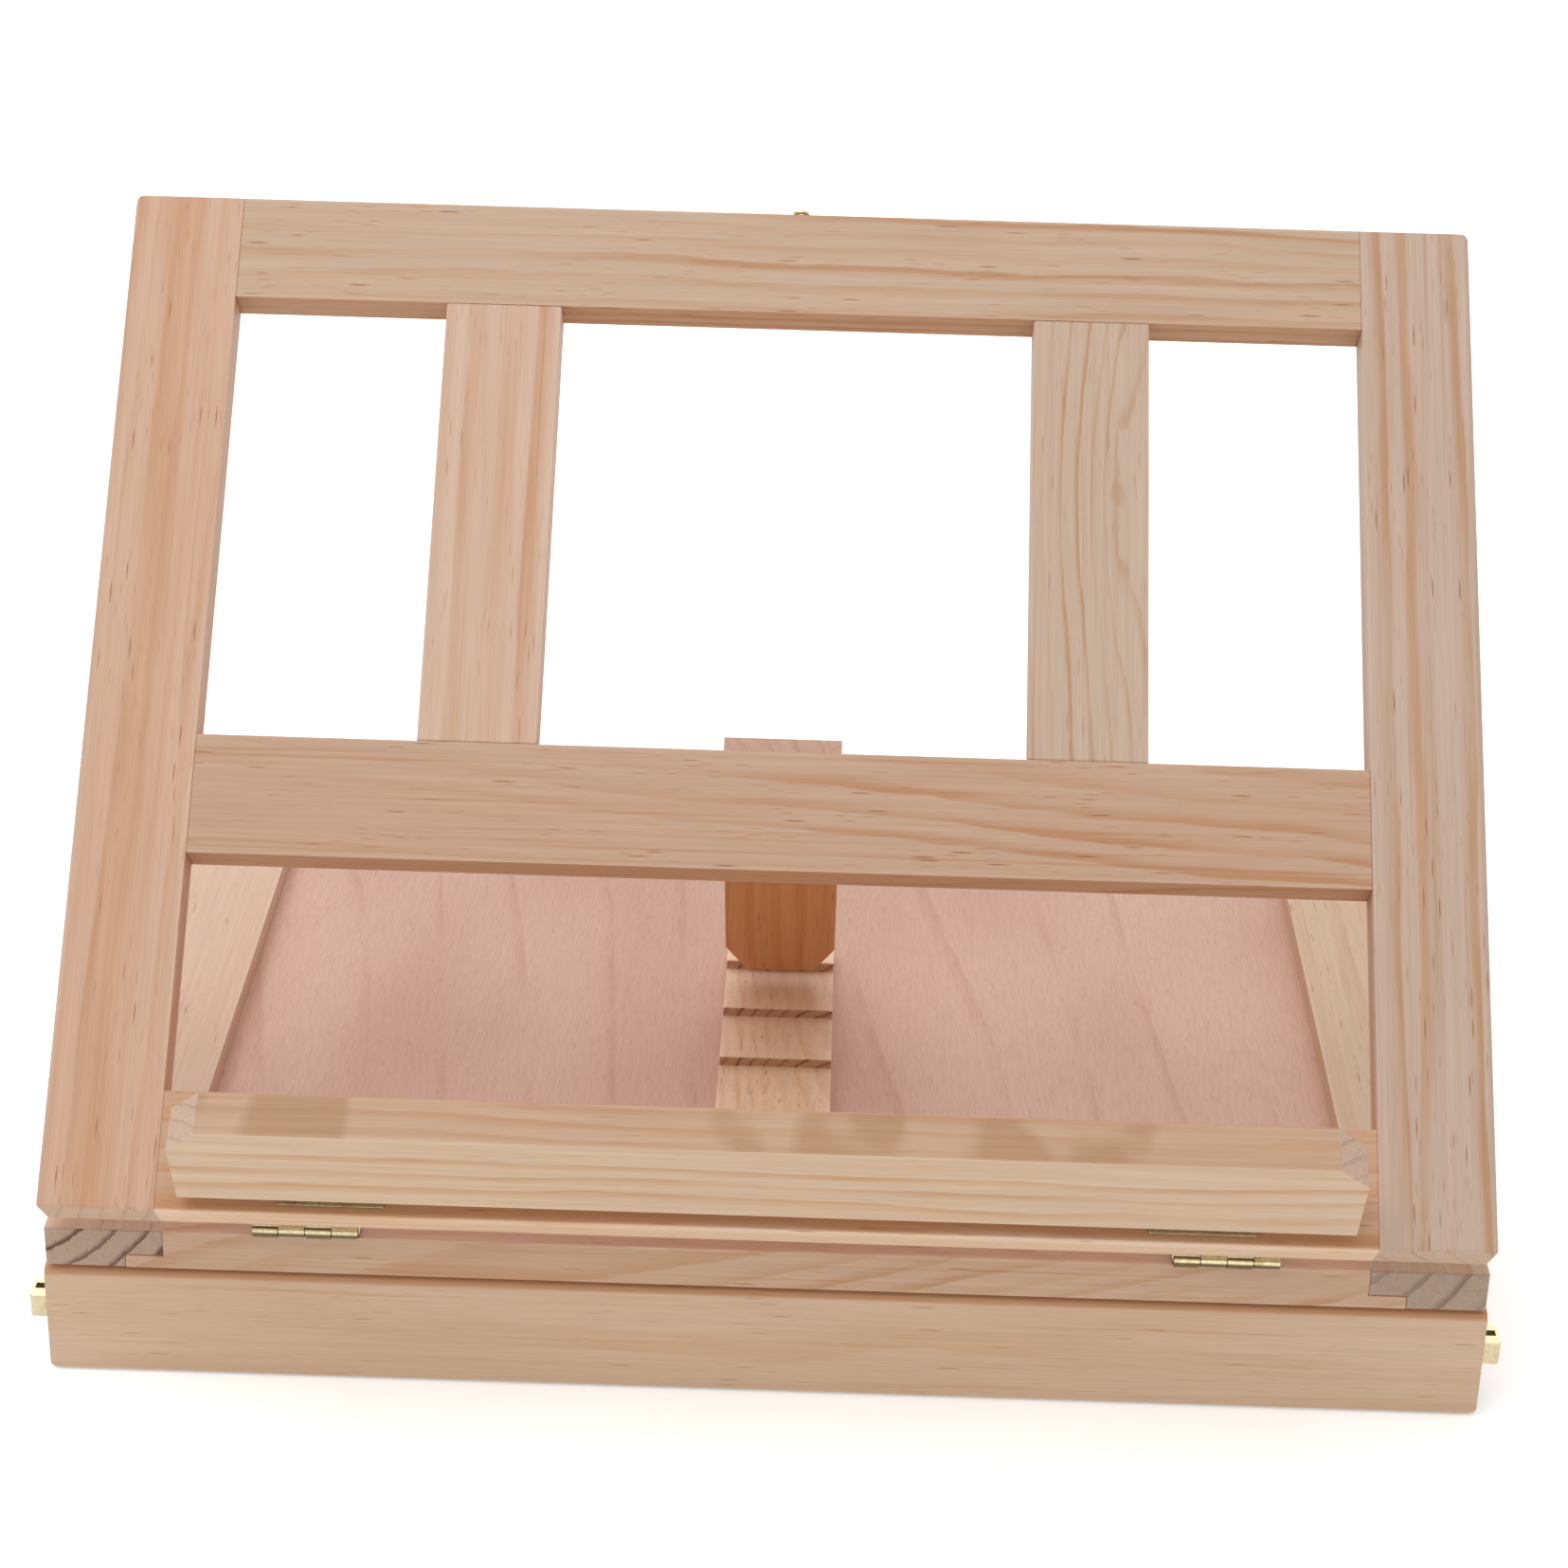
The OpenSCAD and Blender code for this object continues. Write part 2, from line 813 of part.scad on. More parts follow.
module prop_hinge_pin() {
    color(brass) frame_space() at_pin(0, prop_pin) along_x(pin_r, prop_hinge_l);
}

// The stud is turned in one piece: shank, neck and domed head
module closing_stud() {
    neck_l = 2.2;
    rim = 0.4;
    dome = 0.9;
    head = [for (a = [0 : 15 : 75]) [stud_head_r * cos(a), neck_l + rim + dome * sin(a)]];
    color(brass) frame_space() translate([0, base_d, stud_z]) rotate([-90, 0, 0]) rotate_extrude()
        polygon(concat(
            [[0, -stud_shank_l], [screw_shank_r, -stud_shank_l], [screw_shank_r, 0], [stud_r, 0],
                [stud_r, neck_l], [stud_head_r, neck_l]],
            head,
            [[0, neck_l + rim + dome]]));
}

// Prop

// The prop's foot is cut square, and its two lower corners are cut away
module prop() {
    foot = prop_reach - prop_start;
    color(pine) prop_space() difference() {
        translate([0, prop_pin[0] + prop_start, frame_back]) linear_extrude(prop_t) polygon([
            [-strip_w / 2, 0], [strip_w / 2, 0], [strip_w / 2, foot - prop_chamfer[1]],
            [strip_w / 2 - prop_chamfer[0], foot], [-strip_w / 2 + prop_chamfer[0], foot],
            [-strip_w / 2, foot - prop_chamfer[1]]]);
        box_at(let_in(0, prop_hinge_l), [prop_pin[0], prop_pin[0] + leaf_w + leaf_gap],
            [frame_back - 1, frame_back + leaf_t]);
        for (x = prop_screw_xs) {
            translate([x, prop_pin[0] + screw_y, frame_back]) mirror([0, 0, 1]) screw_hole();
        }
    }
}

module prop_leaf() {
    color(brass) prop_space() at_pin(0, prop_pin)
        hinge_leaf(prop_hinge_l, 0, 1, flat_leaf_start, prop_screw_xs);
}

module prop_leaf_screws() {
    color(brass) prop_space() for (x = prop_screw_xs) {
        translate([x, prop_pin[0] + screw_y, frame_back]) mirror([0, 0, 1]) screw();
    }
}

// Ledge

// The ledge has its two free corners cut away, and its hinge leaves are let into its lower edge
module ledge() {
    color(pine) ledge_space() difference() {
        translate([0, ledge_foot, ledge_back]) linear_extrude(ledge_t) polygon([
            [-ledge_l / 2, 0], [ledge_l / 2, 0], [ledge_l / 2, ledge_w - ledge_chamfer],
            [ledge_l / 2 - ledge_chamfer, ledge_w], [-ledge_l / 2 + ledge_chamfer, ledge_w],
            [-ledge_l / 2, ledge_w - ledge_chamfer]]);
        for (x = [-ledge_hinge_x, ledge_hinge_x]) {
            box_at(let_in(x, hinge_l), [ledge_foot - 1, ledge_foot + leaf_t],
                [ledge_back - 1, ledge_pin[1] + ledge_leaf_w + leaf_gap]);
            at_pin(x, ledge_pin) along_x(knuckle_r + knuckle_clear, hinge_l + 2 * leaf_gap);
        }
        for_ledge_screws() screw_hole();
    }
}

// The leaf under the ledge's edge stands square to the leaf on the rail when the ledge is folded
module ledge_leaf_at(x) {
    ledge_space() at_pin(x, ledge_pin) rotate([90, 0, 0]) mirror([0, 0, 1])
        hinge_leaf(hinge_l, -ledge_leaf_drop, 1, flat_leaf_start, screw_xs, ledge_leaf_w);
}

module ledge_leaf_left() {
    color(brass) ledge_leaf_at(-ledge_hinge_x);
}

module ledge_leaf_right() {
    color(brass) ledge_leaf_at(ledge_hinge_x);
}

module for_ledge_screws() {
    for (x = [-ledge_hinge_x, ledge_hinge_x], dx = screw_xs) {
        translate([x + dx, ledge_foot, ledge_pin[1] + screw_y]) rotate([90, 0, 0]) children();
    }
}

module ledge_leaf_screws() {
    color(brass) ledge_space() for_ledge_screws() screw();
}

side_rail_left();
side_rail_right();
front_rail();
back_rail();
panel();
rack();
box_side_left();
box_side_right();
box_back();
box_bottom();
base_leaf_left();
base_leaf_right();
base_hinge_pins();
base_leaf_screws();
side_hook_screws();
closing_hook_screw();
drawer_front();
drawer_side_left();
drawer_side_right();
drawer_back();
drawer_bottom();
long_divider();
cross_divider();
keeper_left();
keeper_right();
keeper_screws();
side_hook_left();
side_hook_right();
closing_hook();
stile_left();
stile_right();
top_rail();
mid_rail();
bottom_rail();
slat_left();
slat_right();
frame_dowels();
frame_leaf_left();
frame_leaf_right();
frame_leaf_screws();
rail_leaf_left();
rail_leaf_right();
rail_leaf_screws();
ledge_hinge_pins();
prop_hinge_leaf();
prop_hinge_pin();
closing_stud();
prop();
prop_leaf();
prop_leaf_screws();
ledge();
ledge_leaf_left();
ledge_leaf_right();
ledge_leaf_screws();
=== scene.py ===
from math import cos, radians, sin

import bpy
from mathutils import Matrix, Vector

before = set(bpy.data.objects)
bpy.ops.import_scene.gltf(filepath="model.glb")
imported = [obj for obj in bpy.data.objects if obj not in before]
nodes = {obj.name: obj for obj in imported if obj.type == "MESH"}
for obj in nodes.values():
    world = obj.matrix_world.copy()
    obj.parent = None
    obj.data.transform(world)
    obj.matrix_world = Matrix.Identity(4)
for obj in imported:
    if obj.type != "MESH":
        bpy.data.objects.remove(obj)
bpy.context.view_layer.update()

print("frame loaded:", len(nodes), "nodes")

toMillimetres = 1000.0
shadeShares = (0.8, 1.0, 1.25)      # how much of a shade on the wood red, green and blue take


def seen(red, green, blue):
    # a colour as it looks on the screen, 0 to 255, turned into the linear values that Blender uses
    return tuple(((v / 255 + 0.055) / 1.055) ** 2.4 for v in (red, green, blue))


class Graph:
    # a short way to write the nodes of one material or group

    def __init__(self, tree):
        self.tree = tree

    def add(self, kind, **settings):
        node = self.tree.nodes.new("ShaderNode" + kind)
        for name, value in settings.items():
            setattr(node, name, value)
        return node

    def feed(self, socket, value):
        if isinstance(value, bpy.types.NodeSocket):
            self.tree.links.new(value, socket)
        elif socket.type == "RGBA" and len(value) == 3:
            socket.default_value = (*value, 1.0)
        else:
            socket.default_value = value

    def math(self, operation, *values):
        node = self.add("Math", operation=operation)
        for socket, value in zip(node.inputs, values):
            self.feed(socket, value)
        return node.outputs[0]

    def plus(self, a, b):
        return self.math("ADD", a, b)

    def minus(self, a, b):
        return self.math("SUBTRACT", a, b)

    def times(self, *values):
        product = values[0]
        for value in values[1:]:
            product = self.math("MULTIPLY", product, value)
        return product

    def distance(self, a, b):
        return self.math("SQRT", self.plus(self.times(a, a), self.times(b, b)))

    def dot(self, a, b):
        node = self.add("VectorMath", operation="DOT_PRODUCT")
        self.feed(node.inputs[0], a)
        self.feed(node.inputs[1], b)
        return node.outputs["Value"]

    def step(self, value, low, high, start=0.0, end=1.0):
        # goes softly from start to end while the value goes from low to high
        node = self.add("MapRange", interpolation_type="SMOOTHSTEP")
        names = ("Value", "From Min", "From Max", "To Min", "To Max")
        for name, entry in zip(names, (value, low, high, start, end)):
            self.feed(node.inputs[name], entry)
        return node.outputs["Result"]

    def join(self, x, y, z):
        node = self.add("CombineXYZ")
        for socket, value in zip(node.inputs, (x, y, z)):
            self.feed(socket, value)
        return node.outputs[0]

    def split(self, vector):
        node = self.add("SeparateXYZ")
        self.feed(node.inputs[0], vector)
        return list(node.outputs)

    def noise(self, vector, detail=2.0, roughness=0.5):
        node = self.add("TexNoise")
        for name, value in (("Vector", vector), ("Scale", 1.0), ("Detail", detail), ("Roughness", roughness)):
            self.feed(node.inputs[name], value)
        return node.outputs["Fac"]

    def cells(self, vector):
        node = self.add("TexVoronoi")
        self.feed(node.inputs["Vector"], vector)
        self.feed(node.inputs["Scale"], 1.0)
        return node.outputs["Distance"]

    def mix(self, factor, a, b, mode="MIX"):
        node = self.add("Mix", data_type="RGBA", blend_type=mode)
        for socket, value in zip([s for s in node.inputs if s.enabled], (factor, a, b)):
            self.feed(socket, value)
        return [s for s in node.outputs if s.enabled][0]

    def tint(self, colour, share):
        # one colour times another
        return self.mix(1.0, colour, share, "MULTIPLY")

    def warm(self, value):
        # turns a shade round 1 into a colour for tint: where it is darker it is also browner
        node = self.add("CombineColor")
        for socket, share in zip(node.inputs, shadeShares):
            self.feed(socket, self.plus(self.times(value, share), 1.0 - share))
        return node.outputs[0]


def startMaterial(name):
    material = bpy.data.materials.new(name)
    material.use_nodes = True
    tree = material.node_tree
    return material, Graph(tree), tree.nodes["Principled BSDF"]


def addBump(g, shader, height, look, invert=False):
    bump = g.add("Bump", invert=invert)
    g.feed(bump.inputs["Strength"], look["bump"])
    g.feed(bump.inputs["Distance"], look["bumpDepth"])
    g.feed(bump.inputs["Height"], height)
    g.feed(shader.inputs["Normal"], bump.outputs["Normal"])


pineLook = {
    "lateShift": (0.85, 0.66, 0.48),    # late wood, as a share of the early wood's colour
    "streakAndShadeShift": (0.90, 0.70, 0.52),    # the orange streaks, and on the bottom rail a painted shadow below the ledge
    "ductShift": (0.62, 0.38, 0.24),    # resin ducts, short dark dashes
    "stain": seen(168, 126, 84),        # cross blotches
    "endLine": seen(112, 80, 66),       # arcs and specks on the ends
    "jointLine": seen(132, 92, 64),     # the dark line where a board meets its neighbour
    "fibre": 0.36, "streak": 0.24,      # how much the fine tone varies
    "hairline": 0.5,                    # dark hairlines along the grain
    "knotReach": 42.0,                  # millimetres along the grain that a knot bends the rings
    "knotSpread": 8.0,                  # millimetres across the grain where it bends them half as much
    "edge": 0.05,                       # how much paler the long edges are
    "rough": 0.56, "gloss": 0.35,
    "bump": 0.16, "bumpDepth": 0.00012,
    "leanLength": 100.0,                # millimetres over which a board's lean is given
    "boardShift": 17.3,                 # how far apart two boards stand in the textures
    "ringShift": 3.7,                   # and in the rings' own random force
}

pineSockets = {
    "Vector": (
        "centre", "along", "across", "through", "half", "pith", "lean", "fade", "streakAndShade", "knot", "face"),
    "Float": (
        "ring", "wander", "late", "sharp", "flecks", "blotches", "faceAmount", "endLines", "joint", "seed"),
    "Color": ("tone", "faceTone", "end"),
}


class BoardGraph(Graph):
    # The board is cut from a log: rings are cylinders round a pith near the board, so its faces show
    # streaks and its ends show arcs. x runs along the grain, y across and z through, in millimetres.

    def __init__(self, tree):
        super().__init__(tree)
        self.inp = tree.nodes.new("NodeGroupInput").outputs
        self.coord = self.add("TexCoord").outputs
        offset = self.add("VectorMath", operation="SUBTRACT")
        self.feed(offset.inputs[0], self.coord["Object"])
        self.feed(offset.inputs[1], self.inp["centre"])
        axes = [self.dot(offset.outputs[0], self.inp[name]) for name in ("along", "across", "through")]
        self.x, self.y, self.z = [self.times(axis, toMillimetres) for axis in axes]
        self.shift = self.times(self.inp["seed"], pineLook["boardShift"])

    def space(self, length, width, shift):
        # coordinates for a texture whose marks are this long and this wide, in millimetres
        place = self.plus(self.shift, shift)
        axes = ((self.x, length), (self.y, width), (self.z, width))
        return self.join(*[self.plus(self.times(axis, 1 / size), place) for axis, size in axes])

    def swing(self, length, width, shift, size, detail=2.0):
        # a wave round zero, at most this large from trough to crest
        return self.times(self.minus(self.noise(self.space(length, width, shift), detail), 0.5), size)

    def nearLimit(self, axis, half, start, full):
        # grows from 0 to 1 between these two distances from the board's limit, in millimetres
        return self.step(self.minus(self.math("ABSOLUTE", axis), half), -start, -full)


def besideKnot(g):
    # how far a place is from the knot, along and across, and how far the knot pushes the rings
    knot = g.split(g.inp["knot"])
    return g.minus(g.x, knot[0]), g.minus(g.y, knot[1]), knot[2]


def pineRings(g, knot):
    # rings, bent by a slow wave along the board and by the knot, and feathered by finer waves
    along, across, size = knot
    near = g.math("EXPONENT", g.times(along, along, -1 / pineLook["knotReach"] ** 2))
    spread = pineLook["knotSpread"]
    push = g.math("DIVIDE", g.times(size, near, spread), g.plus(g.math("ABSOLUTE", across), spread))
    lean = g.split(g.inp["lean"])
    pith = g.split(g.inp["pith"])
    perLength = 1 / pineLook["leanLength"]
    dy = g.plus(g.minus(g.minus(g.y, pith[1]), g.times(g.x, lean[1], perLength)), push)
    dz = g.minus(g.minus(g.z, pith[2]), g.times(g.x, lean[2], perLength))
    bend = g.plus(g.swing(95, 40, 3.1, 5.0, 1.0), g.swing(34, 10, 9.7, 1.3))
    feather = g.plus(g.swing(16, 1.8, 5.2, 1.0), g.swing(30, 0.5, 2.4, 0.7))
    bend = g.plus(g.times(bend, g.inp["wander"]), feather)
    turns = g.math("DIVIDE", g.plus(g.distance(dy, dz), bend), g.inp["ring"])
    # within a ring the late wood darkens slowly and stops at once
    part = g.math("FRACT", turns)
    late = g.times(g.step(part, 0.35, 0.88), g.step(part, 0.89, 1.0, 1.0, 0.0))
    late = g.math("POWER", late, g.inp["sharp"])
    # each ring has its own force, and comes and goes along the board
    ringRandom = g.add("TexWhiteNoise", noise_dimensions="1D")
    ringNumber = g.plus(g.math("FLOOR", turns), g.times(g.inp["seed"], pineLook["ringShift"]))
    g.feed(ringRandom.inputs["W"], ringNumber)
    force = g.plus(g.times(ringRandom.outputs["Value"], 0.9), 0.25)
    fading = g.step(g.noise(g.space(70, 7, 21.0), 3.0), 0.3, 0.68, 0.3, 1.2)
    fade = g.split(g.inp["fade"])
    return late, force, g.times(late, force, fading, g.step(g.x, *fade, 1.0))


def resinDashes(g):
    # resin ducts in two sizes, thick in some places and missing in others
    large = g.step(g.cells(g.space(20, 1.5, 31.0)), 0.07, 0.2, 1.0, 0.0)
    small = g.step(g.cells(g.space(11, 0.9, 47.0)), 0.08, 0.25, 0.5, 0.0)
    where = g.step(g.noise(g.space(34, 6, 14.0), 2.0), 0.42, 0.56)
    return g.times(g.math("MAXIMUM", large, small), where, g.inp["flecks"])


def orangeStreakAndShade(g):
    # one streak along the board, with a wavy middle and frayed sides; on the bottom rail it is a painted
    # shadow below the ledge
    streakAndShade = g.split(g.inp["streakAndShade"])
    away = g.math("ABSOLUTE", g.plus(g.minus(g.y, streakAndShade[0]), g.swing(120, 60, 61.0, 9.0)))
    share = g.math("DIVIDE", g.plus(away, g.swing(30, 1.2, 8.8, 2.0)), streakAndShade[1])
    inStreakAndShade = g.step(share, 0.3, 1.3, 1.0, 0.0)
    return g.times(inStreakAndShade, streakAndShade[2], g.step(g.noise(g.space(90, 30, 71.0)), 0.35, 0.6, 0.35, 1.0))


def knotMark(g, knot):
    # a small dark oval, only where the board has a knot
    along, across, size = knot
    oval = g.math("SQRT", g.plus(g.times(along, along, 0.1), g.times(across, across, 0.35)))
    oval = g.plus(oval, g.swing(3, 1.5, 83.0, 1.2))
    return g.times(g.step(oval, 0.5, 1.5, 0.55, 0.0), g.step(size, 0.0, 1.0))


def longColour(g, knot, ringMark, dash, butt):
    # the colour of the faces that run along the grain
    # one face may take a tone of its own, on some boards partly painted light or shade
    facing = g.step(g.dot(g.coord["Normal"], g.inp["face"]), 0.2, 0.6)
    tone = g.mix(g.times(facing, g.inp["faceAmount"]), g.inp["tone"], g.inp["faceTone"])
    lateTone = g.tint(tone, pineLook["lateShift"])
    streakAndShadeTone = g.tint(tone, pineLook["streakAndShadeShift"])
    # broad warm zones, the orange streak (on the bottom rail a painted shadow), dark lines, resin ducts,
    # stains, the knot and the joint line
    wide = g.step(g.noise(g.space(90, 14, 41.0)), 0.3, 0.7, 0.0, 0.35)
    colour = g.mix(g.times(wide, 0.4), tone, streakAndShadeTone)
    colour = g.mix(orangeStreakAndShade(g), colour, streakAndShadeTone)
    hair = g.step(g.noise(g.space(130, 1.2, 91.0), 1.0), 0.6, 0.7)
    hair = g.times(hair, g.step(g.noise(g.space(150, 11, 97.0), 1.0), 0.45, 0.6), pineLook["hairline"])
    dark = g.math("MINIMUM", g.plus(g.times(ringMark, g.inp["late"]), hair), 1.0)
    colour = g.mix(dark, colour, lateTone)
    dashForce = g.math("MINIMUM", g.times(dash, 0.9), 0.95)
    colour = g.mix(dashForce, colour, g.tint(tone, pineLook["ductShift"]))
    blotch = g.step(g.noise(g.space(25, 55, 55.0), 1.5), 0.53, 0.62)
    colour = g.mix(g.times(blotch, facing, g.inp["blotches"]), colour, pineLook["stain"])
    colour = g.mix(knotMark(g, knot), colour, lateTone)
    return g.mix(g.times(butt, g.inp["joint"]), colour, pineLook["jointLine"])


def endColour(g, late, force):
    # the ends: the late wood as thin dark arcs, and fine specks
    arcs = g.times(g.math("POWER", late, 4.5), g.plus(force, 0.3), g.inp["endLines"])
    specks = g.step(g.noise(g.space(2, 0.3, 77.0), 1.0), 0.52, 0.75, 0.0, 0.3)
    colour = g.mix(g.math("MINIMUM", arcs, 1.0), g.inp["end"], pineLook["endLine"])
    return g.mix(specks, colour, pineLook["endLine"])


def makePineGroup():
    tree = bpy.data.node_groups.new("pineBoard", "ShaderNodeTree")
    for kind, names in pineSockets.items():
        for name in names:
            tree.interface.new_socket(name=name, in_out="INPUT", socket_type="NodeSocket" + kind)
    for name, kind in (("colour", "Color"), ("roughness", "Float"), ("height", "Float")):
        tree.interface.new_socket(name=name, in_out="OUTPUT", socket_type="NodeSocket" + kind)
    g = BoardGraph(tree)
    out = tree.nodes.new("NodeGroupOutput").inputs
    half = g.split(g.inp["half"])
    butt = g.nearLimit(g.x, half[0], 0.5, 0.15)
    longEdges = g.times(g.nearLimit(g.y, half[1], 1.1, 0.2), g.nearLimit(g.z, half[2], 1.1, 0.2))
    knot = besideKnot(g)
    late, force, ringMark = pineRings(g, knot)
    dash = resinDashes(g)
    endFace = g.step(g.math("ABSOLUTE", g.dot(g.coord["Normal"], g.inp["along"])), 0.35, 0.8)
    colour = g.mix(endFace, longColour(g, knot, ringMark, dash, butt), endColour(g, late, force))

    fibre = g.minus(g.noise(g.space(30, 0.34, 1.4), 3.0, 0.6), 0.5)
    streak = g.minus(g.noise(g.space(60, 1.6, 6.6)), 0.5)
    shade = g.plus(g.times(fibre, pineLook["fibre"]), g.times(streak, pineLook["streak"]))
    shade = g.plus(g.plus(shade, g.times(longEdges, pineLook["edge"])), 1.0)
    g.feed(out["colour"], g.tint(colour, g.warm(shade)))
    rough = g.plus(g.times(fibre, 0.25), pineLook["rough"])
    rough = g.minus(g.minus(rough, g.times(ringMark, 0.08)), g.times(longEdges, 0.1))
    g.feed(out["roughness"], g.plus(rough, g.times(endFace, 0.15)))
    height = g.plus(g.times(fibre, 0.7), g.times(ringMark, 0.25))
    g.feed(out["height"], g.minus(height, g.times(dash, 0.5)))
    return tree


pineGroup = makePineGroup()

# degrees at rest: the easel's frame leans, the prop hangs from it and the ledge stands out
rest = {"lean": 46.0, "propFold": 103.78, "ledgeOpen": 71.0}


def inPlane(angle):
    # the axes of a space that is turned round X by this many degrees
    a = radians(angle)
    return {"x": Vector((1, 0, 0)), "y": Vector((0, cos(a), sin(a))), "z": Vector((0, -sin(a), cos(a)))}


spaces = {
    "base": inPlane(0),
    "frame": inPlane(rest["lean"]),
    "prop": inPlane(rest["lean"] - rest["propFold"]),
    "ledge": inPlane(rest["lean"] + rest["ledgeOpen"]),
}

# What each board has unless its own entry says otherwise. Lengths are in millimetres from the board's
# middle, along the grain, across it and through it. Tones are as seen, 0 to 255.
plainBoard = {
    "tone": (206, 176, 150),
    "face": None,                   # one face with a tone of its own, on some boards partly painted light or shade: axis, side, tone
    "pith": (0, 40, -40),           # the middle of the rings, beside the board
    "lean": (0, 0, 0),              # how far the pith moves over 100 mm of length
    "ring": 4.0, "wander": 0.9,     # the rings' width, and how much they wave
    "late": 0.5, "sharp": 1.0,      # how strong and how narrow the late wood is
    "fade": (-999, -998, 1.0),      # from here to there along the board the rings grow from this share to 1
    "streakAndShade": (0, 3, 0),              # an orange streak, on the bottom rail a painted shadow below the ledge: place across, half width, amount
    "knot": (0, 0, 0),              # place along, place across, how far it pushes the rings
    "flecks": 0.8, "blotches": 0.0,     # resin ducts, and stains on the face that has its own tone
    "end": (184, 160, 141), "endLines": 0.8,
    "joint": 0.0,                   # the dark line round the ends, where the board meets another
}

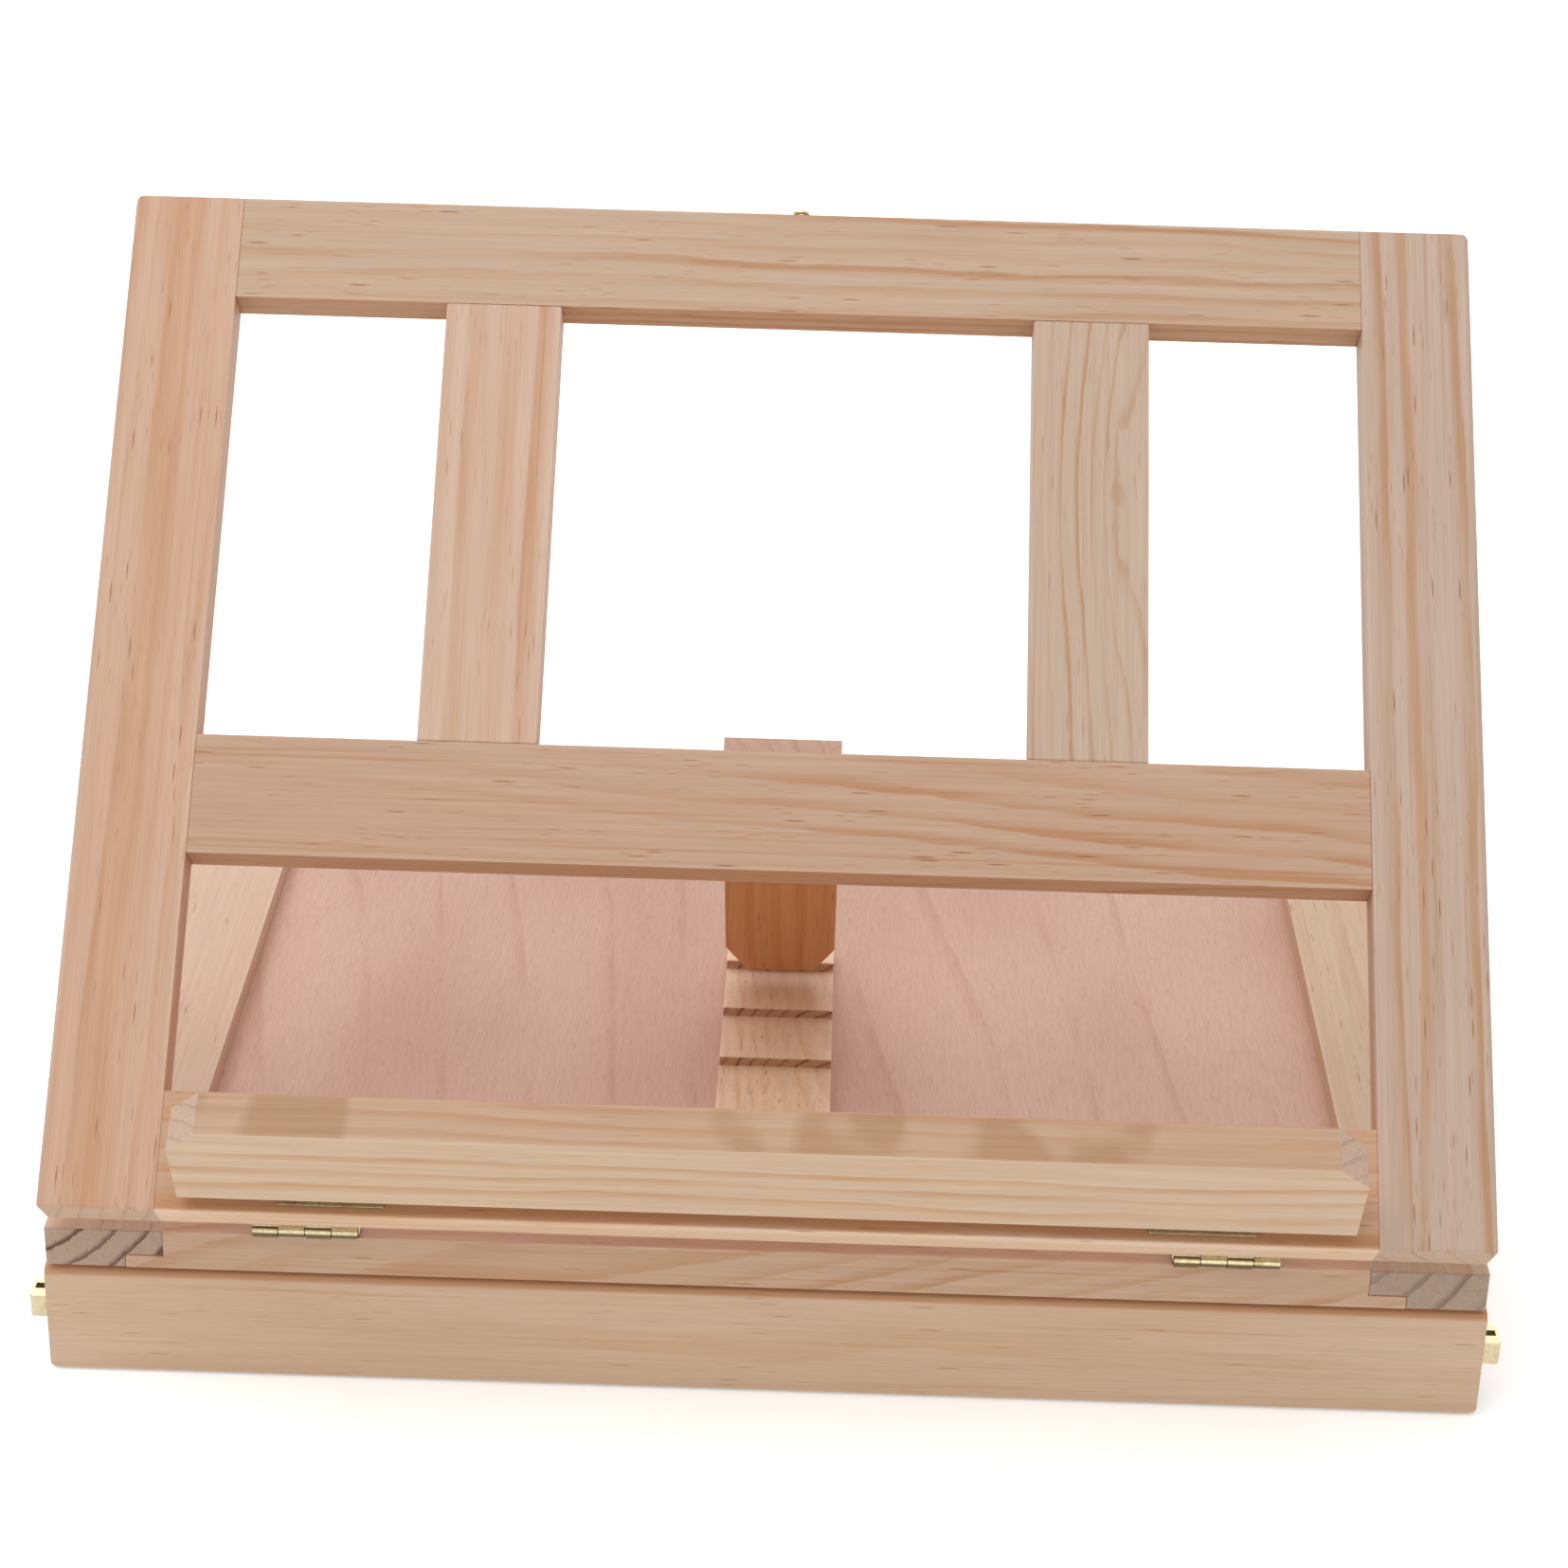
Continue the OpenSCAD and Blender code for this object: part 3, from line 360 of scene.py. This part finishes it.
# the space that each board lies in, the axis there that its grain follows, a seed, and what sets it apart
boards = {
    "stile_left": {
        "space": "frame", "grain": "y", "seed": 1, "tone": (213, 176, 150), "pith": (0, 70, -20),
        "ring": 5.0, "late": 0.7, "lean": (0, 2, 0), "streakAndShade": (-1, 5, 0.6), "flecks": 1.0,
        "end": (214, 184, 158), "endLines": 0.2},
    "stile_right": {
        "space": "frame", "grain": "y", "seed": 2, "tone": (203, 177, 158), "pith": (0, -60, -30),
        "ring": 8.0, "late": 1.1, "sharp": 2.2, "lean": (0, -1, 0), "streakAndShade": (-3, 1.6, 0.9), "flecks": 1.0,
        "end": (214, 184, 158), "endLines": 0.2},
    "top_rail": {
        "space": "frame", "grain": "x", "seed": 3, "tone": (203, 173, 148), "pith": (0, -26, -22),
        "ring": 3.8, "late": 1.1, "lean": (0, -3, 2), "wander": 1.2, "flecks": 1.1,
        "face": ("y", -1, (204, 168, 136)), "joint": 0.5, "fade": (-130, 60, 0.6)},
    "mid_rail": {
        "space": "frame", "grain": "x", "seed": 4, "tone": (200, 166, 140), "pith": (0, 28, -22),
        "ring": 4.2, "late": 1.0, "lean": (0, -6, 3), "wander": 1.3, "flecks": 1.1,
        "face": ("y", -1, (204, 166, 134)), "joint": 0.5, "fade": (-50, 40, 0.25)},
    # the bottom rail's orange streak at -12 across is a painted shadow below the ledge, its tone is darker
    # partly as painted shade there, and its pale lower face is partly painted light from the front
    "bottom_rail": {
        "space": "frame", "grain": "x", "seed": 5, "tone": (208, 170, 138), "pith": (0, 30, -40),
        "ring": 3.4, "streakAndShade": (-12, 2.2, 1.0), "face": ("y", -1, (244, 216, 188)), "joint": 0.4},
    "slat_left": {
        "space": "frame", "grain": "y", "seed": 6, "tone": (215, 183, 160), "pith": (0, 60, -16),
        "ring": 8.0, "late": 1.15, "sharp": 0.6, "wander": 0.5, "streakAndShade": (4, 2, 0.3), "flecks": 0.6,
        "joint": 0.4},
    "slat_right": {
        "space": "frame", "grain": "y", "seed": 7, "tone": (203, 177, 155), "pith": (0, -70, -16),
        "ring": 4.7, "late": 1.2, "sharp": 4.0, "wander": 0.5, "flecks": 0.5, "knot": (12, 7, 11),
        "joint": 0.4},
    "frame_dowels": {"space": "frame", "grain": "x", "seed": 8, "ring": 2.5, "late": 0.4},
    "side_rail_left": {
        "space": "base", "grain": "y", "seed": 9, "tone": (222, 190, 166), "pith": (0, -34, 34),
        "ring": 6.0, "late": 0.3, "endLines": 1.6, "end": (192, 166, 145)},
    "side_rail_right": {
        "space": "base", "grain": "y", "seed": 10, "tone": (218, 188, 160), "pith": (0, -40, 30),
        "ring": 8.0, "late": 0.8, "endLines": 0.45, "end": (186, 162, 142)},
    # the front rail's paler, pinker top face is partly painted bounce light in the shade below the frame
    "front_rail": {
        "space": "base", "grain": "x", "seed": 11, "tone": (212, 179, 150), "pith": (0, -34, 20),
        "ring": 5.0, "late": 1.1, "lean": (0, 6, 30), "wander": 1.3, "face": ("z", 1, (236, 196, 166))},
    "back_rail": {"space": "base", "grain": "x", "seed": 12, "tone": (206, 174, 146), "pith": (0, 34, 30)},
    "rack": {
        "space": "base", "grain": "y", "seed": 13, "tone": (238, 203, 173), "pith": (0, 22, -18),
        "ring": 3.2, "end": (196, 150, 116)},
    "box_side_left": {"space": "base", "grain": "y", "seed": 14, "pith": (0, 30, 30)},
    "box_side_right": {"space": "base", "grain": "y", "seed": 15, "pith": (0, -30, 26)},
    "box_back": {"space": "base", "grain": "x", "seed": 16, "pith": (0, 30, 30)},
    # the drawer front's darker brown top face is partly painted shade below the front rail
    "drawer_front": {
        "space": "base", "grain": "x", "seed": 17, "tone": (224, 194, 165), "pith": (0, 50, 8),
        "ring": 3.2, "late": 0.7, "flecks": 0.6, "face": ("z", 1, (206, 158, 118))},
    "drawer_side_left": {"space": "base", "grain": "y", "seed": 18, "pith": (0, 30, 20)},
    "drawer_side_right": {"space": "base", "grain": "y", "seed": 19, "pith": (0, -30, 20)},
    "drawer_back": {"space": "base", "grain": "x", "seed": 20, "pith": (0, 30, 20)},
    "long_divider": {"space": "base", "grain": "x", "seed": 21, "pith": (0, 30, 24), "ring": 3.2},
    "cross_divider": {"space": "base", "grain": "y", "seed": 22, "pith": (0, 26, 24), "ring": 3.2},
    "prop": {
        "space": "prop", "grain": "y", "seed": 23, "tone": (218, 164, 116), "pith": (0, -40, -16),
        "ring": 6.0, "late": 0.9, "wander": 0.6, "end": (206, 168, 148), "endLines": 0.15},
    "ledge": {
        "space": "ledge", "grain": "x", "seed": 24, "tone": (229, 201, 172), "pith": (0, -26, 40),
        "ring": 3.6, "late": 0.85, "flecks": 0.3, "face": ("y", 1, (199, 165, 137)), "blotches": 0.55,
        "end": (216, 186, 164), "endLines": 0.3},
}


def boardSpace(piece, axes):
    # the board's own middle, and half its length, width and thickness in millimetres
    centre, half = Vector(), []
    for axis in axes:
        reach = [vertex.co.dot(axis) for vertex in piece.data.vertices]
        centre += axis * (min(reach) + max(reach)) / 2
        half.append((max(reach) - min(reach)) / 2 * toMillimetres)
    return centre, half


def pineMaterial(name, board):
    directions = spaces[board["space"]]
    across = "y" if board["grain"] == "x" else "x"
    axes = [directions[k] for k in (board["grain"], across, "z")]
    centre, half = boardSpace(nodes[name], axes)
    axis, side, faceTone = board["face"] or ("z", 1, board["tone"])
    values = {
        **board, "centre": centre, "along": axes[0], "across": axes[1], "through": axes[2], "half": half,
        "tone": seen(*board["tone"]), "end": seen(*board["end"]), "face": directions[axis] * side,
        "faceTone": seen(*faceTone), "faceAmount": 1.0 if board["face"] else 0.0,
    }
    material, g, shader = startMaterial("pine_" + name)
    group = g.add("Group", node_tree=pineGroup)
    for socket in group.inputs:
        g.feed(socket, values[socket.name])
    g.feed(shader.inputs["Base Color"], group.outputs["colour"])
    g.feed(shader.inputs["Roughness"], group.outputs["roughness"])
    g.feed(shader.inputs["Specular IOR Level"], pineLook["gloss"])
    addBump(g, shader, group.outputs["height"], pineLook)
    return material


edgeLook = {
    "pine": {"width": 0.0005, "angle": 35},     # metres, and degrees from where an edge is softened
    "brass": {"width": 0.00012, "angle": 40},
    "steps": 2,
    "weld": 0.00002,                            # metres within which the mesh's corners are one
}


def softenEdges(piece, kind):
    weld = piece.modifiers.new("weld", "WELD")
    weld.merge_threshold = edgeLook["weld"]
    bevel = piece.modifiers.new("softEdges", "BEVEL")
    bevel.width = edgeLook[kind]["width"]
    bevel.segments = edgeLook["steps"]
    bevel.limit_method = "ANGLE"
    bevel.angle_limit = radians(edgeLook[kind]["angle"])
    normals = piece.modifiers.new("normals", "WEIGHTED_NORMAL")
    normals.keep_sharp = True


def dress(piece, material):
    piece.data.materials.clear()
    piece.data.materials.append(material)


for name, board in boards.items():
    dress(nodes[name], pineMaterial(name, {**plainBoard, **board}))
    if name != "frame_dowels":
        softenEdges(nodes[name], "pine")
print("pine boards:", len(boards))

plyLook = {
    "pale": seen(216, 177, 157),
    "deep": seen(206, 163, 143),
    "fleck": seen(188, 132, 108),
    "line": seen(188, 134, 108),
    "edgeDark": seen(150, 118, 92),
    "fleckForce": 0.32, "lineForce": 0.38, "grainForce": 0.45,
    "lineEvery": 24.0,          # millimetres from one growth line to the next
    "lineSlant": 0.16,          # millimetres that they go left over each millimetre towards the back
    "slowWave": 36.0, "fineWave": 2.0,      # millimetres that they wave
    "layer": 0.8,               # one veneer, in millimetres
    "rough": 0.52, "gloss": 0.35,
    "bump": 0.1, "bumpDepth": 0.0001,
    "sheetShift": 23.0,         # how far apart two sheets stand in the textures
}


def plyMaterial(name, seed):
    # beech veneer with short rays along Y, a few growth lines, and crossed layers on the edges
    material, g, shader = startMaterial("ply_" + name)
    coord = g.add("TexCoord").outputs
    x, y, z = [g.times(axis, toMillimetres) for axis in g.split(coord["Object"])]

    def space(length, width, shift):
        axes = ((x, width, shift + seed), (y, length, shift), (z, width, shift))
        return g.join(*[g.plus(g.times(axis, 1 / size), place) for axis, size, place in axes])

    ray = g.step(g.cells(space(6.0, 0.5, 3.0)), 0.14, 0.42, 1.0, 0.0)
    ray = g.times(ray, g.step(g.noise(space(9, 3, 8.0)), 0.35, 0.65, 0.2, 1.0))
    grain = g.minus(g.noise(space(6, 0.4, 12.0), 3.0, 0.65), 0.5)
    # growth lines, moved aside by a slow wave and a fine one, and missing in places
    slow, fine = g.noise(space(280, 90, 5.0), 1.0), g.noise(space(30, 8, 6.0))
    bend = g.plus(g.times(slow, plyLook["slowWave"]), g.times(fine, plyLook["fineWave"]))
    across = g.plus(g.plus(x, g.times(y, plyLook["lineSlant"])), bend)
    turn = g.math("FRACT", g.times(across, 1 / plyLook["lineEvery"]))
    line = g.times(g.step(turn, 0.8, 0.96), g.step(turn, 0.96, 1.0, 1.0, 0.0))
    line = g.times(line, g.step(g.noise(space(70, 25, 16.0)), 0.35, 0.6))
    cloud = g.step(g.noise(space(130, 45, 33.0), 1.0), 0.35, 0.65)
    colour = g.mix(cloud, plyLook["pale"], plyLook["deep"])
    colour = g.mix(g.times(line, plyLook["lineForce"]), colour, plyLook["line"])
    colour = g.mix(g.times(ray, plyLook["fleckForce"]), colour, plyLook["fleck"])
    colour = g.tint(colour, g.warm(g.plus(g.times(grain, plyLook["grainForce"]), 1.0)))
    edge = g.step(g.math("ABSOLUTE", g.split(coord["Normal"])[2]), 0.3, 0.7, 1.0, 0.0)
    layer = g.step(g.math("FRACT", g.times(z, 0.5 / plyLook["layer"])), 0.45, 0.55)
    colour = g.mix(g.times(edge, layer, 0.7), colour, plyLook["edgeDark"])
    g.feed(shader.inputs["Base Color"], colour)
    g.feed(shader.inputs["Roughness"], g.plus(g.times(ray, 0.12), plyLook["rough"]))
    g.feed(shader.inputs["Specular IOR Level"], plyLook["gloss"])
    addBump(g, shader, g.minus(ray, grain), plyLook, invert=True)
    return material


sheets = ("panel", "box_bottom", "drawer_bottom")
for number, name in enumerate(sheets):
    dress(nodes[name], plyMaterial(name, number * plyLook["sheetShift"]))
print("plywood sheets:", len(sheets))

brassLook = {
    "bright": {
        "colour": (0.76, 0.64, 0.40), "worn": (0.87, 0.79, 0.58), "dull": (0.58, 0.47, 0.25),
        "paintedShadeForce": 0.3},
    # the dull finish, for the hinges, is darker partly as painted shade and painted dark reflection of the
    # wood round them
    "dull": {
        "colour": (0.70, 0.57, 0.33), "worn": (0.88, 0.79, 0.55), "dull": (0.40, 0.30, 0.13),
        "paintedShadeForce": 1.0},
    "paintedShade": (0.10, 0.07, 0.03),      # painted shade in the gaps between the knuckles and on the undersides, and a painted dark reflection on top
    "rough": 0.18,
    "bump": 0.05, "bumpDepth": 0.00005,
    "polished": ("keeper_left", "keeper_right", "side_hook_left", "side_hook_right", "closing_stud"),
}


def brassMaterial(finish):
    # stamped brass: cloudy polish, brushed lines and dull patches, with painted shade and a painted dark
    # reflection set by the way each face points
    tones = brassLook[finish]
    material, g, shader = startMaterial("brass_" + finish)
    coord = g.add("TexCoord").outputs
    x, y, z = [g.times(axis, toMillimetres) for axis in g.split(coord["Object"])]
    cloud = g.noise(g.join(x, y, z), 3.0)
    patches = g.noise(g.join(g.times(x, 0.3), g.plus(g.times(y, 0.3), 7.0), g.times(z, 0.3)), 2.0)
    lines = g.noise(g.join(g.times(x, 0.3), g.times(y, 4.0), g.times(z, 4.0)), 2.0)
    colour = g.mix(g.step(cloud, 0.35, 0.7, 0.0, 0.6), tones["colour"], tones["worn"])
    colour = g.mix(g.step(patches, 0.5, 0.75, 0.0, 0.5), colour, tones["dull"])
    # painted shade where a face points along x, between the knuckles, and on the undersides, and a painted
    # dark reflection where it points up; the bright finish takes 0.3 of it
    facing = g.split(coord["Normal"])
    gapShade = g.step(g.math("ABSOLUTE", facing[0]), 0.25, 0.7, 0.0, 0.8)
    undersideShade = g.step(facing[2], -0.05, 0.35, 0.9, 0.0)
    topReflection = g.step(facing[2], 0.55, 0.85, 0.0, 0.6)
    paintedShade = g.times(g.math("MAXIMUM", gapShade, g.plus(undersideShade, topReflection)), tones["paintedShadeForce"])
    g.feed(shader.inputs["Base Color"], g.mix(paintedShade, colour, brassLook["paintedShade"]))
    g.feed(shader.inputs["Roughness"], g.plus(g.times(lines, 0.2), brassLook["rough"]))
    g.feed(shader.inputs["Metallic"], 1.0)
    addBump(g, shader, lines, brassLook)
    return material


brass = {finish: brassMaterial(finish) for finish in ("bright", "dull")}
brassNodes = [name for name in nodes if name not in boards and name not in sheets]
for name in brassNodes:
    dress(nodes[name], brass["bright" if name in brassLook["polished"] else "dull"])
    softenEdges(nodes[name], "brass")
print("brass pieces:", len(brassNodes))

stageLook = {
    "floorSize": 8.0,
    "floorColour": (0.94, 0.94, 0.94),
    "floorGlow": 0.35,
    "whiteFrom": 0.45, "whiteAt": 1.6,      # metres from the object where the floor turns plain white
    "world": 0.52,
    "lamps": {                              # watts, metres across and place
        "key": (18.4, 2.0, (-0.5, -0.45, 2.0)),
        "fill": (2.2, 1.6, (0.5, -1.9, 0.55)),
        "back": (13.2, 2.4, (-0.2, 1.5, 1.5)),
    },
    "lampAim": (0, 0, 0.08),
}


def showsStage(g):
    # 1 for rays that show the floor or the world itself, 0 for those that only carry light
    path = g.add("LightPath").outputs
    mirrored = g.math("MAXIMUM", path["Is Glossy Ray"], path["Is Transmission Ray"])
    return g.math("MAXIMUM", path["Is Camera Ray"], mirrored)


def floorMaterial():
    # a plain pale floor that looks white, so that the object's shadow is all that shows of it
    material, g, shader = startMaterial("paleFloor")
    g.tree.nodes.remove(shader)
    plain, bright = g.add("BsdfDiffuse"), g.add("BsdfDiffuse")
    g.feed(plain.inputs["Color"], stageLook["floorColour"])
    g.feed(bright.inputs["Color"], (1, 1, 1))
    glow = g.add("Emission")
    place = g.split(g.add("TexCoord").outputs["Object"])
    away = g.distance(place[0], place[1])
    reach = [stageLook[k] for k in ("whiteFrom", "whiteAt", "floorGlow")]
    g.feed(glow.inputs["Strength"], g.step(away, *reach, 1.0))
    both, mix = g.add("AddShader"), g.add("MixShader")
    g.feed(both.inputs[0], bright.outputs[0])
    g.feed(both.inputs[1], glow.outputs[0])
    g.feed(mix.inputs["Fac"], showsStage(g))
    g.feed(mix.inputs[1], plain.outputs[0])
    g.feed(mix.inputs[2], both.outputs[0])
    g.feed(g.tree.nodes["Material Output"].inputs["Surface"], mix.outputs[0])
    return material


def layFloor():
    h = stageLook["floorSize"] / 2
    mesh = bpy.data.meshes.new("floor")
    mesh.from_pydata([(-h, -h, 0), (h, -h, 0), (h, h, 0), (-h, h, 0)], [], [(0, 1, 2, 3)])
    mesh.materials.append(floorMaterial())
    floor = bpy.data.objects.new("floor", mesh)
    bpy.context.scene.collection.objects.link(floor)


def hangLamp(name, power, size, place):
    lamp = bpy.data.lights.new(name, "AREA")
    lamp.energy = power
    lamp.shape = "DISK"
    lamp.size = size
    holder = bpy.data.objects.new(name, lamp)
    bpy.context.scene.collection.objects.link(holder)
    holder.location = place
    holder.rotation_mode = "QUATERNION"
    holder.rotation_quaternion = (Vector(stageLook["lampAim"]) - Vector(place)).to_track_quat("-Z", "Y")


def lightWorld():
    world = bpy.data.worlds.new("studio")
    bpy.context.scene.world = world
    world.use_nodes = True
    g = Graph(world.node_tree)
    background = world.node_tree.nodes["Background"]
    g.feed(background.inputs["Color"], (1, 1, 1))
    power = g.plus(g.times(showsStage(g), 1.0 - stageLook["world"]), stageLook["world"])
    g.feed(background.inputs["Strength"], power)


layFloor()
for lampName, (power, size, place) in stageLook["lamps"].items():
    hangLamp(lampName, power, size, place)
lightWorld()

# the camera was fitted to the edges of the easel in the photograph
shot = {
    "place": (0.0104, -0.8403, 0.5016),
    "yaw": -0.715, "pitch": 25.6, "roll": 1.485,       # degrees
    "focal": 3773.0, "picture": 1655,                  # pixels
    "sensor": 36.0,
    "clipStart": 0.01, "clipEnd": 50,                  # metres
}


def placeCamera():
    yaw, pitch, roll = (radians(shot[k]) for k in ("yaw", "pitch", "roll"))
    forward = Vector((sin(yaw) * cos(pitch), cos(yaw) * cos(pitch), -sin(pitch)))
    right = Vector((cos(yaw), -sin(yaw), 0))
    up = right.cross(forward)
    right, up = cos(roll) * right + sin(roll) * up, cos(roll) * up - sin(roll) * right
    lens = bpy.data.cameras.new("camera")
    lens.sensor_width = shot["sensor"]
    lens.sensor_fit = "HORIZONTAL"
    lens.lens = shot["sensor"] * shot["focal"] / shot["picture"]
    lens.clip_start = shot["clipStart"]
    lens.clip_end = shot["clipEnd"]
    camera = bpy.data.objects.new("camera", lens)
    bpy.context.scene.collection.objects.link(camera)
    turn = Matrix((right, up, -forward)).transposed().to_4x4()
    camera.matrix_world = Matrix.Translation(Vector(shot["place"])) @ turn
    bpy.context.scene.camera = camera


placeCamera()
bpy.context.scene.view_settings.view_transform = "Standard"
print("floor, lamps and camera set")
